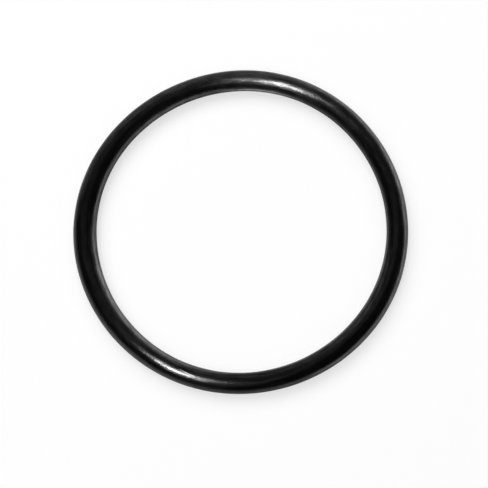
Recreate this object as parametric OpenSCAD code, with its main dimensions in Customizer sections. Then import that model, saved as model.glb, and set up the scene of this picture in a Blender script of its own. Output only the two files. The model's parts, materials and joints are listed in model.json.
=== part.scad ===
// Moulded rubber o-ring, lying flat with its axis along Z.
// The origin is the centre of the hole, halfway through the ring's thickness.

/* [Ring] */
// Inside diameter, across the hole from round wall to round wall
inside_d = 48; // [30:0.5:80]
// Diameter of the round section
section_d = 3.5; // [2.5:0.1:6]

/* [Parting ridges] */
// Height of the fine ridge left where the mould halves met
ridge_h = 0.06; // [0.03:0.01:0.1]
// Width of the ridge's flat crest
crest_w = 0.2; // [0.1:0.05:0.3]
// Width of each sloping flank, from the crest down into the round wall
flank_w = 0.08; // [0.04:0.02:0.12]

/* [Hidden] */

section_r = section_d / 2;
// Radius of the circle that the section's centre follows
ring_r = inside_d / 2 + section_r;
// Half the width of a ridge at its root, just under the round wall
root_half_w = crest_w / 2 + flank_w;
// Facets round the section and round the ring, where the shape is shown as a mesh
section_facets = 96;
ring_facets = 240;

// One ridge on the +X side of the section, rooted under the wall by its own height
module ridge_profile() {
    root_x = section_r - ridge_h;
    crest_x = section_r + ridge_h;
    polygon([
        [root_x, -root_half_w],
        [crest_x, -crest_w / 2],
        [crest_x, crest_w / 2],
        [root_x, root_half_w]
    ]);
}

// The whole section about its own centre: a circle with a ridge towards the hole and one outwards
module section_profile() {
    circle(r = section_r, $fn = section_facets);
    ridge_profile();
    rotate(180) ridge_profile();
}

module o_ring() {
    color([0.03, 0.03, 0.03])
        rotate_extrude($fn = ring_facets)
            translate([ring_r, 0])
                section_profile();
}

o_ring();
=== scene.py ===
import json
import math

import bpy
import numpy as np
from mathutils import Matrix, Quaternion, Vector

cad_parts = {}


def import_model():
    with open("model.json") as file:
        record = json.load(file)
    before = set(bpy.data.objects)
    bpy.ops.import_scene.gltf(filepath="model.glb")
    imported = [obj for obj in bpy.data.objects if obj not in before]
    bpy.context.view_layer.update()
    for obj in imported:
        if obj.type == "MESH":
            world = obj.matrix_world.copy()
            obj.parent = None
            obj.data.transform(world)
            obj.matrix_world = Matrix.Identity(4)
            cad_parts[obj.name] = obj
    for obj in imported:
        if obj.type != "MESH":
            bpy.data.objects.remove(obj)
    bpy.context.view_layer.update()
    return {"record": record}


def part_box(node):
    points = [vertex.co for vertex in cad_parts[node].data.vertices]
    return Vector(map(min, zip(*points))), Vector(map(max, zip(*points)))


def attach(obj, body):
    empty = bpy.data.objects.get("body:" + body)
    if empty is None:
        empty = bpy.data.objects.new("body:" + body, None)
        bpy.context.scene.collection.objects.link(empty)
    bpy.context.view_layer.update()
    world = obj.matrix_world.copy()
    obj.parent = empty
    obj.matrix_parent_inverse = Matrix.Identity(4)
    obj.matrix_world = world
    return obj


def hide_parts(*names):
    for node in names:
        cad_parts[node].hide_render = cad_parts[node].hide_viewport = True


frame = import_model()

MM = 0.001

# Sizes of the ring, all but the last read from the frame
mounts = {m["name"]: m for m in frame["record"]["mounts"]}
low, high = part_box("o_ring")
SECTION_R = (high[2] - low[2]) / 2
INNER_CREST_R = mounts["inside_diameter"]["dims"]["r_mm"] * MM
OUTER_CREST_R = mounts["outside_diameter"]["dims"]["r_mm"] * MM
CREST_HALF_W = mounts["outside_diameter"]["dims"]["length_mm"] / 2 * MM
RING_R = (INNER_CREST_R + OUTER_CREST_R) / 2
RIDGE_H = (OUTER_CREST_R - INNER_CREST_R) / 2 - SECTION_R
FLANK_W = 0.08 * MM

# The ring isn't quite even. Each wave has a count round the ring, a size and a turn in degrees.
# The first waves push its centre line out and in, the others widen and narrow the section as seen from above.
ROUND_WAVES = ((3, 0.042 * MM, 166), (4, 0.054 * MM, 70))
WIDTH_WAVES = ((1, 0.075 * MM, 208), (2, 0.036 * MM, 5), (3, 0.027 * MM, 128))
# The last make the top of the section a little higher and lower, about a height just under the round one's
HEIGHT_WAVES = ((2, 0.067 * MM, -51), (4, 0.050 * MM, 168), (6, 0.031 * MM, 28))
HEIGHT_DROP = 0.034 * MM

# Finer unevenness: its depth, how many terms are summed up, and the fewest and most waves that a term has
# round the section and round the ring
UNEVEN_DEPTH = 0.003 * MM
UNEVEN_TERMS = 40
UNEVEN_ACROSS = (0, 3)
UNEVEN_ROUND = (6, 30)
UNEVEN_SEED = 11

# How finely the ring's mesh is divided: round the ring, and from one ridge over to the other
STEPS_ROUND = 720
STEPS_OVER = 44

# The camera looks down on the ring, tilted from straight above towards this turn from +X, both in degrees
CAMERA_TILT = 14.95
CAMERA_TURN = -78.43
CAMERA_DISTANCE = 10 * RING_R
# The nearest and furthest that it sees
CAMERA_NEAR = 0.01
CAMERA_FAR = 20
SENSOR_W = 36.0
IMAGE_PX = 488
# The radius of the ring's centre line in the photograph, and where the ring's centre lies, in pixels
RING_R_PX = 156.25
CENTRE_PX = (240.10, 227.76)
IMAGE_CENTRE_PX = (IMAGE_PX - 1) / 2


def section_angles():
    """The angles round the section at which the mesh has points: close together over the two ridges."""
    crest = CREST_HALF_W / SECTION_R
    root = (CREST_HALF_W + FLANK_W) / SECTION_R
    ridge = [0, crest / 2, crest, (2 * crest + root) / 3, (crest + 2 * root) / 3, root]
    wall = np.linspace(root, math.pi - root, STEPS_OVER + 1)[1:-1]
    upper = np.concatenate([ridge, wall, math.pi - np.array(ridge[::-1])])
    lower = 2 * math.pi - upper[-2:0:-1]
    return np.concatenate([upper, lower])


def ridge_height(phi):
    """How far the wall stands out at an angle round the section: flat on a crest, smooth down its flanks."""
    from_ridge = np.abs(np.arcsin(np.clip(np.sin(phi), -1, 1))) * SECTION_R
    down = np.clip((from_ridge - CREST_HALF_W) / FLANK_W, 0, 1)
    return RIDGE_H * (1 - down * down * (3 - 2 * down))


def unevenness(theta, phi):
    """Smooth seeded unevenness of the skin, that joins up with itself both ways round."""
    rng = np.random.default_rng(UNEVEN_SEED)
    total = np.zeros(np.broadcast(theta, phi).shape)
    for _ in range(UNEVEN_TERMS):
        k = rng.integers(UNEVEN_ROUND[0], UNEVEN_ROUND[1] + 1)
        m = rng.integers(UNEVEN_ACROSS[0], UNEVEN_ACROSS[1] + 1)
        lag, sign = rng.uniform(0, 2 * math.pi), rng.choice([-1, 1])
        total += np.cos(k * theta + sign * m * phi + lag)
    return UNEVEN_DEPTH * total / math.sqrt(UNEVEN_TERMS / 2)


def waves(theta, terms):
    """The sum of a few slow waves round the ring."""
    return sum(size * np.cos(count * theta + math.radians(turn)) for count, size, turn in terms)


def ring_mesh():
    """The ring as one closed mesh: a round section with a fine ridge inside and outside, swept round."""
    theta = np.linspace(0, 2 * math.pi, STEPS_ROUND, endpoint=False)[:, None]
    phi = section_angles()[None, :]
    r = SECTION_R + ridge_height(phi) + unevenness(theta, phi)
    wide = 1 + waves(theta, WIDTH_WAVES) / SECTION_R
    across = RING_R + waves(theta, ROUND_WAVES) + wide * r * np.cos(phi)
    up = r * np.sin(phi)
    lift = (waves(theta, HEIGHT_WAVES) - HEIGHT_DROP) / SECTION_R
    up = up * (1 + np.where(up > 0, lift, 0))
    # Nothing goes below the floor that the ring rests on
    up = np.maximum(up, -SECTION_R)
    points = np.stack([across * np.cos(theta), across * np.sin(theta), up], axis=-1).reshape(-1, 3)
    n, m = theta.size, phi.size
    i, j = np.meshgrid(np.arange(n), np.arange(m), indexing="ij")
    i2, j2 = (i + 1) % n, (j + 1) % m
    faces = np.stack([i * m + j, i2 * m + j, i2 * m + j2, i * m + j2], axis=-1).reshape(-1, 4)
    mesh = bpy.data.meshes.new("moulded_ring")
    mesh.from_pydata(points.tolist(), [], faces.tolist())
    mesh.shade_smooth()
    return mesh


RUBBER_IOR = 1.45
RUBBER_COLOUR = 0.0012
CREST_COLOUR = 0.010

# Patterns drawn out along the ring. Each has the length of its features along it, their width across it,
# how much finer detail it has, and a shift that picks one stretch of the pattern.
STREAKS = (6 * MM, 0.5 * MM, 3, 22.1)
SHEEN = (2 * MM, 0.6 * MM, 3, 3.1)
FLOW = (3 * MM, 0.3 * MM, 2, 7.3)
GRAIN = (0.4 * MM, 0.16 * MM, 1, 1.7)
# Depths of the flow lines and of the fine grain
FLOW_DEPTH = 0.022 * MM
GRAIN_DEPTH = 0.013 * MM

# Roughness of the moulded skin in its glossiest and dullest streaks, and the part of the streaks' pattern
# over which it changes
ROUGH_LOW = 0.18
ROUGH_HIGH = 0.26
STREAK_SPAN = (0.3, 0.7)
# What is added to it at the far side, and taken off at the near one, and what is added on the crests
ROUGH_FAR = 0.03
ROUGH_CREST = 0.25
# Strength of the gloss where it is weakest and strongest, and the part of its pattern over which it changes
SHEEN_LOW = 0.32
SHEEN_HIGH = 0.62
SHEEN_SPAN = (0.35, 0.65)
# How much stronger it is at the far side and weaker at the near one, and its slow wave round the ring:
# a count, a size and a turn in degrees
SHEEN_FAR = 0.11
SHEEN_WAVE = (3, 0.28, 72)
# Flow lines too fine to see run round the ring and spread a highlight across it: how strongly, and the part
# of a full turn between the one way and the other
FLOW_SPREAD = 0.78
FLOW_TURN = 0.25

# A short groove on top, beside the lower highlight: its turn from +X, how far out its middle is, its slant,
# its length, the share of that at full depth, its width and its depth
MARK_TURN = math.radians(-109.4)
MARK_OUT = 25.775 * MM
MARK_SLANT = 0.125
MARK_LENGTH = 3.4 * MM
MARK_FULL = 0.6
MARK_W = 0.22 * MM
MARK_DEPTH = 0.014 * MM
# The heights between which it fades in up the section, as shares of the section's radius
MARK_HEIGHTS = (0.5, 0.9)


def grey(value):
    """A neutral colour."""
    return (value, value, value, 1)


def math_node(tree, operation, first, second=None):
    """A Math node. Its inputs are numbers or other nodes' outputs."""
    node = tree.nodes.new("ShaderNodeMath")
    node.operation = operation
    for socket, value in zip(node.inputs, (first, second)):
        if value is None:
            continue
        if isinstance(value, (int, float)):
            socket.default_value = value
        else:
            tree.links.new(value, socket)
    return node.outputs[0]


def weighted_sum(tree, first, first_weight, second, second_weight):
    """Two outputs, each times a number, added up."""
    first = math_node(tree, "MULTIPLY", first, first_weight)
    second = math_node(tree, "MULTIPLY", second, second_weight)
    return math_node(tree, "ADD", first, second)


def smooth_range(tree, value, start, end, low_out=0.0, high_out=1.0):
    """Maps a range to another, smoothly, and holds its ends."""
    node = tree.nodes.new("ShaderNodeMapRange")
    node.interpolation_type = "SMOOTHSTEP"
    tree.links.new(value, node.inputs["Value"])
    node.inputs["From Min"].default_value = start
    node.inputs["From Max"].default_value = end
    node.inputs["To Min"].default_value = low_out
    node.inputs["To Max"].default_value = high_out
    return node.outputs["Result"]


def ring_place(tree):
    """Where a point of the ring is: cosine and sine of its turn, way out from the centre, height."""
    split = tree.nodes.new("ShaderNodeSeparateXYZ")
    tree.links.new(tree.nodes.new("ShaderNodeTexCoord").outputs["Object"], split.inputs[0])
    x, y, z = split.outputs
    squares = math_node(tree, "ADD", math_node(tree, "MULTIPLY", x, x), math_node(tree, "MULTIPLY", y, y))
    out = math_node(tree, "SQRT", squares)
    return math_node(tree, "DIVIDE", x, out), math_node(tree, "DIVIDE", y, out), out, z


def ring_noise(tree, place, along, across, detail, shift):
    """Noise drawn out along the ring, with features of about these sizes. It has no seam either way round."""
    cosine, sine, out, z = place
    join = tree.nodes.new("ShaderNodeCombineXYZ")
    tree.links.new(math_node(tree, "MULTIPLY", cosine, RING_R / along), join.inputs[0])
    tree.links.new(math_node(tree, "MULTIPLY", sine, RING_R / along), join.inputs[1])
    from_middle = math_node(tree, "MULTIPLY", math_node(tree, "SUBTRACT", out, RING_R), 1 / across)
    tree.links.new(math_node(tree, "ADD", from_middle, shift), join.inputs[2])
    noise = tree.nodes.new("ShaderNodeTexNoise")
    noise.noise_dimensions = "4D"
    noise.inputs["Scale"].default_value = 1
    noise.inputs["Detail"].default_value = detail
    tree.links.new(join.outputs[0], noise.inputs["Vector"])
    tree.links.new(math_node(tree, "MULTIPLY", z, 1 / across), noise.inputs["W"])
    return noise.outputs["Fac"]


def bump(tree, height, depth, below=None):
    """Adds surface relief of a real depth in metres, on top of any relief already there."""
    node = tree.nodes.new("ShaderNodeBump")
    node.inputs["Strength"].default_value = 1
    node.inputs["Distance"].default_value = depth
    tree.links.new(height, node.inputs["Height"])
    if below is not None:
        tree.links.new(below, node.inputs["Normal"])
    return node.outputs["Normal"]


def flow_mark(tree, place):
    """A short slanted line on top of the ring, 1 in its middle and 0 away from it."""
    cosine, sine, out, z = place
    cos_turn, sin_turn = math.cos(MARK_TURN), math.sin(MARK_TURN)
    near = weighted_sum(tree, cosine, cos_turn, sine, sin_turn)
    along = math_node(tree, "MULTIPLY", weighted_sum(tree, sine, cos_turn, cosine, -sin_turn), RING_R)
    middle = math_node(tree, "ADD", math_node(tree, "MULTIPLY", along, MARK_SLANT), MARK_OUT)
    off = math_node(tree, "ABSOLUTE", math_node(tree, "SUBTRACT", out, middle))
    line = smooth_range(tree, off, 0, MARK_W / 2, 1, 0)
    half = MARK_LENGTH / 2
    ends = smooth_range(tree, math_node(tree, "ABSOLUTE", along), half * MARK_FULL, half, 1, 0)
    on_top = smooth_range(tree, z, SECTION_R * MARK_HEIGHTS[0], SECTION_R * MARK_HEIGHTS[1])
    # The way along is as short at the opposite side of the ring, which this leaves out
    this_side = smooth_range(tree, near, 0, 0.5)
    mask = math_node(tree, "MULTIPLY", ends, math_node(tree, "MULTIPLY", on_top, this_side))
    return math_node(tree, "MULTIPLY", line, mask)


def rubber_colour(tree, crest):
    """Near black, and a little greyer on the crests."""
    mix = tree.nodes.new("ShaderNodeMix")
    mix.data_type = "RGBA"
    tree.links.new(crest, mix.inputs["Factor"])
    mix.inputs["A"].default_value = grey(RUBBER_COLOUR)
    mix.inputs["B"].default_value = grey(CREST_COLOUR)
    return mix.outputs["Result"]


def rubber_roughness(tree, place, crest):
    """Streaked along the ring, a little duller at the far side, and dull on the crests."""
    sine = place[1]
    streaks = ring_noise(tree, place, *STREAKS)
    rough = smooth_range(tree, streaks, *STREAK_SPAN, ROUGH_LOW, ROUGH_HIGH)
    return math_node(tree, "ADD", rough, weighted_sum(tree, sine, ROUGH_FAR, crest, ROUGH_CREST))


def rubber_sheen(tree, place):
    """The strength of the gloss: patchy, a little more at the far side, with a slow wave round the ring."""
    cosine, sine = place[:2]
    patches = smooth_range(tree, ring_noise(tree, place, *SHEEN), *SHEEN_SPAN, SHEEN_LOW, SHEEN_HIGH)
    count, size, turn = SHEEN_WAVE
    angle = math_node(tree, "MULTIPLY", math_node(tree, "ARCTAN2", sine, cosine), count)
    wave = math_node(tree, "COSINE", math_node(tree, "ADD", angle, math.radians(turn)))
    slow = weighted_sum(tree, sine, SHEEN_FAR, wave, size)
    return math_node(tree, "MULTIPLY", patches, math_node(tree, "ADD", slow, 1))


def rubber_relief(tree, place):
    """Flow lines, a fine grain over them, and the flow mark's groove."""
    relief = bump(tree, ring_noise(tree, place, *FLOW), FLOW_DEPTH)
    relief = bump(tree, ring_noise(tree, place, *GRAIN), GRAIN_DEPTH, relief)
    groove = math_node(tree, "MULTIPLY", flow_mark(tree, place), -1)
    return bump(tree, groove, MARK_DEPTH, relief)


def rubber_material():
    """Near black moulded rubber: glossy, with a fine grain, faint flow streaks and dull trimmed ridges."""
    material = bpy.data.materials.new("black_rubber")
    material.use_nodes = True
    tree = material.node_tree
    shader = tree.nodes["Principled BSDF"]
    place = ring_place(tree)
    # 1 on the trimmed crests of the two parting ridges, and 0 past their flanks
    from_middle = math_node(tree, "ABSOLUTE", place[3])
    crest = smooth_range(tree, from_middle, CREST_HALF_W, CREST_HALF_W + FLANK_W, 1, 0)
    round_ring = tree.nodes.new("ShaderNodeTangent")
    round_ring.direction_type = "RADIAL"
    round_ring.axis = "Z"

    shader.inputs["IOR"].default_value = RUBBER_IOR
    shader.inputs["Anisotropic"].default_value = FLOW_SPREAD
    shader.inputs["Anisotropic Rotation"].default_value = FLOW_TURN
    tree.links.new(round_ring.outputs["Tangent"], shader.inputs["Tangent"])
    tree.links.new(rubber_colour(tree, crest), shader.inputs["Base Color"])
    tree.links.new(rubber_roughness(tree, place, crest), shader.inputs["Roughness"])
    tree.links.new(rubber_sheen(tree, place), shader.inputs["Specular IOR Level"])
    tree.links.new(rubber_relief(tree, place), shader.inputs["Normal"])
    return material


def ring_piece():
    """The visible ring, in place of the solid one."""
    ring = bpy.data.objects.new("moulded_ring", ring_mesh())
    bpy.context.scene.collection.objects.link(ring)
    ring.data.materials.append(rubber_material())
    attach(ring, "root")
    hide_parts("o_ring")


FLOOR_HALF = 3.0
# The floor's own colour, and how much it is lifted where it is seen directly or mirrored.
# Past the lamps' reach the lift grows, from the first distance to the second.
FLOOR_PAINT = 0.345
FLOOR_LIFT = 0.648
FLOOR_LIFT_FAR = 1.0
LIFT_FROM = 0.15
LIFT_TO = 1.2
# How much of a mirrored ray goes on through the floor to the lamps below it, inside the ring and outside it,
# and the distances from the ring's centre between which that changes
CLEAR_INSIDE = 0.65
CLEAR_OUTSIDE = 0.38
CLEAR_FROM = 22 * MM
CLEAR_TO = 30 * MM


def floor_material():
    """A plain white surface. Seen directly or mirrored it is lifted to white, and keeps its shadow."""
    material = bpy.data.materials.new("white_floor")
    material.use_nodes = True
    tree = material.node_tree
    nodes, links = tree.nodes, tree.links
    nodes.clear()
    paint = nodes.new("ShaderNodeBsdfDiffuse")
    paint.inputs["Color"].default_value = grey(FLOOR_PAINT)

    rays = nodes.new("ShaderNodeLightPath")
    seen = math_node(tree, "ADD", rays.outputs["Is Camera Ray"], rays.outputs["Is Glossy Ray"])
    seen = math_node(tree, "ADD", seen, rays.outputs["Is Transmission Ray"])
    seen = math_node(tree, "MINIMUM", seen, 1)
    from_centre = nodes.new("ShaderNodeVectorMath")
    from_centre.operation = "LENGTH"
    links.new(nodes.new("ShaderNodeTexCoord").outputs["Object"], from_centre.inputs[0])
    distance = from_centre.outputs["Value"]
    lift = smooth_range(tree, distance, LIFT_FROM, LIFT_TO, FLOOR_LIFT, FLOOR_LIFT_FAR)
    glow = nodes.new("ShaderNodeEmission")
    links.new(math_node(tree, "MULTIPLY", seen, lift), glow.inputs["Strength"])
    both = nodes.new("ShaderNodeAddShader")
    links.new(paint.outputs[0], both.inputs[0])
    links.new(glow.outputs[0], both.inputs[1])

    # Mirrored rays partly pass, and so does the light of the lamps below
    passing = math_node(tree, "ADD", rays.outputs["Is Glossy Ray"], rays.outputs["Is Shadow Ray"])
    clear = smooth_range(tree, distance, CLEAR_FROM, CLEAR_TO, CLEAR_INSIDE, CLEAR_OUTSIDE)
    passing = math_node(tree, "MULTIPLY", math_node(tree, "MINIMUM", passing, 1), clear)
    # Only the upper side shows, so that the ring can be looked at from below
    under = nodes.new("ShaderNodeNewGeometry").outputs["Backfacing"]
    sided = nodes.new("ShaderNodeMixShader")
    links.new(math_node(tree, "MAXIMUM", passing, under), sided.inputs["Fac"])
    links.new(both.outputs[0], sided.inputs[1])
    links.new(nodes.new("ShaderNodeBsdfTransparent").outputs[0], sided.inputs[2])
    out = nodes.new("ShaderNodeOutputMaterial")
    links.new(sided.outputs[0], out.inputs["Surface"])
    return material


def floor():
    """The surface that the ring lies on."""
    z = low[2]
    mesh = bpy.data.meshes.new("floor")
    corners = [(x * FLOOR_HALF, y * FLOOR_HALF, z) for x, y in ((-1, -1), (1, -1), (1, 1), (-1, 1))]
    mesh.from_pydata(corners, [], [(0, 1, 2, 3)])
    obj = bpy.data.objects.new("floor", mesh)
    bpy.context.scene.collection.objects.link(obj)
    mesh.materials.append(floor_material())


def direction(turn, from_top):
    """A unit vector, by its turn from +X and its angle from straight up, both in degrees."""
    a, t = math.radians(turn), math.radians(from_top)
    return Vector((math.cos(a) * math.sin(t), math.sin(a) * math.sin(t), math.cos(t)))


LAMP_DISTANCE = 1.0


def lamp(name, turn, from_top, half_across, half_along, radiance, spin=0, away=LAMP_DISTANCE, mirrored=False):
    """A flat oval lamp that faces the ring, and that the camera doesn't see. Its half widths are angles in
    degrees, across and along the way down from the top. It is mirrored in the rubber or lights the floor."""
    data = bpy.data.lights.new(name, "AREA")
    data.shape = "ELLIPSE"
    data.size = 2 * away * math.tan(math.radians(half_across))
    data.size_y = 2 * away * math.tan(math.radians(half_along))
    area = math.pi / 4 * data.size * data.size_y
    data.energy = radiance * area * math.pi
    obj = bpy.data.objects.new(name, data)
    bpy.context.scene.collection.objects.link(obj)
    towards = direction(turn, from_top)
    obj.location = towards * away
    obj.rotation_mode = "QUATERNION"
    obj.rotation_quaternion = towards.to_track_quat("Z", "Y") @ Quaternion((0, 0, 1), math.radians(spin))
    obj.visible_camera = False
    obj.visible_diffuse = not mirrored
    obj.visible_glossy = mirrored


def lamps():
    """The studio's lights, with the angles, half widths and radiance of each."""
    # Soft ones, that light the floor and cast the shadow
    lamp("soft_box", 120, 35, 34, 18, 3.4)
    lamp("soft_top", 120, 12, 25, 18, 0.9)
    lamp("soft_key", -134, 24, 14, 14, 1.8)
    lamp("fill", 120, 0, 60, 60, 0.38)
    # The one that makes both highlights
    lamp("key", -134.5, 17.5, 4.0, 13, 57, spin=23, mirrored=True)
    # Low ones at the right, for the rims of the walls that face them
    lamp("side_band", 47, 87, 30, 4, 5, mirrored=True)
    lamp("side_panel", 22, 89, 18, 4, 3.2, mirrored=True)
    lamp("side_glow", 52, 67, 32, 12, 0.5, mirrored=True)
    # Ones below the floor, for the same rims closer to their edges
    lamp("low_panel", 18, 102, 30, 10, 3.5, mirrored=True)
    lamp("low_near", -38, 110, 45, 14, 2.5, mirrored=True)
    lamp("low_far", 56, 108, 32, 14, 3.0, mirrored=True)
    # Two closer ones below it, for the whole inner edge and for the thin line under the upper highlight
    lamp("low_hole", 90, 167, 20, 20, 0.9, away=22.6 * MM, mirrored=True)
    lamp("low_line", -107, 149.2, 12, 6, 12.5, away=70 * MM, mirrored=True)
    # Wide faint ones at the far side, for a haze on the walls that face them
    lamp("haze_low", 112, 68, 42, 20, 0.66, mirrored=True)
    lamp("haze_high", 108, 28, 30, 20, 0.15, mirrored=True)


ROOM_LIGHT = 0.02


def world():
    """A dim room, white where the camera sees past the floor."""
    room = bpy.data.worlds.new("room")
    bpy.context.scene.world = room
    room.use_nodes = True
    nodes, links = room.node_tree.nodes, room.node_tree.links
    nodes.clear()
    rays = nodes.new("ShaderNodeLightPath")
    dim = nodes.new("ShaderNodeBackground")
    dim.inputs["Color"].default_value = grey(ROOM_LIGHT)
    white = nodes.new("ShaderNodeBackground")
    white.inputs["Color"].default_value = grey(1)
    mix = nodes.new("ShaderNodeMixShader")
    links.new(rays.outputs["Is Camera Ray"], mix.inputs["Fac"])
    links.new(dim.outputs[0], mix.inputs[1])
    links.new(white.outputs[0], mix.inputs[2])
    out = nodes.new("ShaderNodeOutputWorld")
    links.new(mix.outputs[0], out.inputs["Surface"])


def camera():
    """The photograph's camera: above the ring, tilted a little towards the near side."""
    data = bpy.data.cameras.new("camera")
    data.sensor_width = SENSOR_W
    data.lens = CAMERA_DISTANCE / RING_R * RING_R_PX / IMAGE_PX * SENSOR_W
    data.shift_x = (IMAGE_CENTRE_PX - CENTRE_PX[0]) / IMAGE_PX
    data.shift_y = (CENTRE_PX[1] - IMAGE_CENTRE_PX) / IMAGE_PX
    data.clip_start = CAMERA_NEAR
    data.clip_end = CAMERA_FAR
    obj = bpy.data.objects.new("camera", data)
    bpy.context.scene.collection.objects.link(obj)
    back = direction(CAMERA_TURN, CAMERA_TILT)
    obj.location = back * CAMERA_DISTANCE
    obj.rotation_mode = "QUATERNION"
    obj.rotation_quaternion = Vector((0, 0, 1)).rotation_difference(back)
    bpy.context.scene.camera = obj


camera()
ring_piece()
floor()
lamps()
world()
bpy.context.scene.view_settings.view_transform = "Standard"
